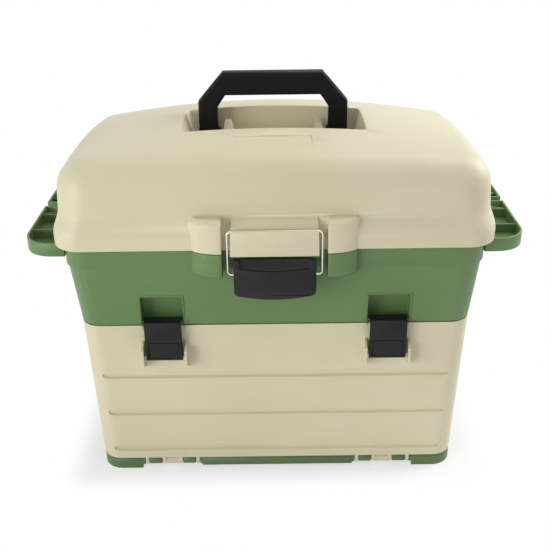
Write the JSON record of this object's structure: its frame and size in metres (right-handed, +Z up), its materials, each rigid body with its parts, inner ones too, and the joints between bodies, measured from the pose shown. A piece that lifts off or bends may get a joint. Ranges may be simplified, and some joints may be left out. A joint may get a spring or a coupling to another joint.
{
  "type": "tackle box",
  "caption": "Moulded tackle box: domed hinged lid with a draw latch and folding handle, and a drop-front door on snap clips over pull-out drawers.",
  "frame": {"origin": "on the floor, under the middle of the case", "axes": "+X to the right of someone facing the door, -Y out of the front, +Z up"},
  "size_m": [0.509, 0.3048, 0.4145],
  "materials": {
    "green_shell": "sage green moulded plastic with a fine satin grain",
    "pale_shell": "cream moulded plastic, satin",
    "black_parts": "charcoal moulded plastic, satin",
    "bright_wire": "bright plated wire",
    "steel": "plain steel",
    "inner_plastic": "cream moulded plastic"
  },
  "bodies": {
    "case": {"lower_chest": "green_shell", "upper_bin": "green_shell", "side_grip_left": "green_shell", "side_grip_right": "green_shell", "bin_screws": "steel", "grip_screws": "steel", "latch_pin": "steel", "lid_hinge_pin_left": "steel", "lid_hinge_pin_right": "steel", "door_hinge_pin_left": "steel", "door_hinge_pin_right": "steel"},
    "lid": {"lid": "pale_shell"},
    "handle": {"carry_handle": "black_parts", "handle_pin_left": "steel", "handle_pin_right": "steel"},
    "lever": {"latch_lever": "black_parts"},
    "bail": {"latch_bail": "bright_wire"},
    "door": {"front_door": "pale_shell", "clip_pin_left": "steel", "clip_pin_right": "steel"},
    "clip_left": {"clip_left": "black_parts"},
    "clip_right": {"clip_right": "black_parts"},
    "tray": {"lift_out_tray": "inner_plastic", "tray_long_wall": "inner_plastic", "tray_cross_walls": "inner_plastic"},
    "bottom_drawer": {"drawer_bottom": "inner_plastic", "dividers_bottom": "inner_plastic"},
    "middle_drawer": {"drawer_middle": "inner_plastic", "dividers_middle": "inner_plastic"},
    "top_drawer": {"drawer_top": "inner_plastic", "dividers_top": "inner_plastic"}
  },
  "joints": [
    {"name": "lid_open", "type": "hinge", "parent": "case", "child": "lid", "pos_m": [0, 0.145, 0.2725], "axis": [-1, 0, 0], "range_deg": [0, 100]},
    {"name": "handle_fold", "type": "hinge", "parent": "lid", "child": "handle", "pos_m": [0, 0.018, 0.347], "axis": [1, 0, 0], "range_deg": [0, 90]},
    {"name": "lever_lift", "type": "hinge", "parent": "case", "child": "lever", "pos_m": [0, -0.145, 0.264], "axis": [-1, 0, 0], "range_deg": [0, 90]},
    {"name": "bail_swing", "type": "hinge", "parent": "lever", "child": "bail", "pos_m": [0, -0.145, 0.252], "axis": [-1, 0, 0], "range_deg": [-70, 0]},
    {"name": "door_drop", "type": "hinge", "parent": "case", "child": "door", "pos_m": [0, -0.1144, 0.008], "axis": [1, 0, 0], "range_deg": [0, 80]},
    {"name": "clip_left_release", "type": "hinge", "parent": "door", "child": "clip_left", "pos_m": [-0.116, -0.12881, 0.1502], "axis": [1, 0, 0], "range_deg": [0, 28]},
    {"name": "clip_right_release", "type": "hinge", "parent": "door", "child": "clip_right", "pos_m": [0.116, -0.12881, 0.1502], "axis": [1, 0, 0], "range_deg": [0, 28]},
    {"name": "tray_lift", "type": "slide", "parent": "case", "child": "tray", "axis": [0, 0, 1], "range_m": [0, 0.05]},
    {"name": "bottom_drawer_slide", "type": "slide", "parent": "case", "child": "bottom_drawer", "axis": [0, -1, 0], "range_m": [0, 0.0215]},
    {"name": "middle_drawer_slide", "type": "slide", "parent": "case", "child": "middle_drawer", "axis": [0, -1, 0], "range_m": [0, 0.085]},
    {"name": "top_drawer_slide", "type": "slide", "parent": "case", "child": "top_drawer", "axis": [0, -1, 0], "range_m": [0, 0.141]}
  ],
  "couplings": [
    {"joint": "bail_swing", "follows": "lever_lift", "ratio": -0.76},
    {"joint": "bottom_drawer_slide", "follows": "door_drop", "m_per_rad": 0.015},
    {"joint": "middle_drawer_slide", "follows": "door_drop", "m_per_rad": 0.06},
    {"joint": "top_drawer_slide", "follows": "door_drop", "m_per_rad": 0.1}
  ]
}
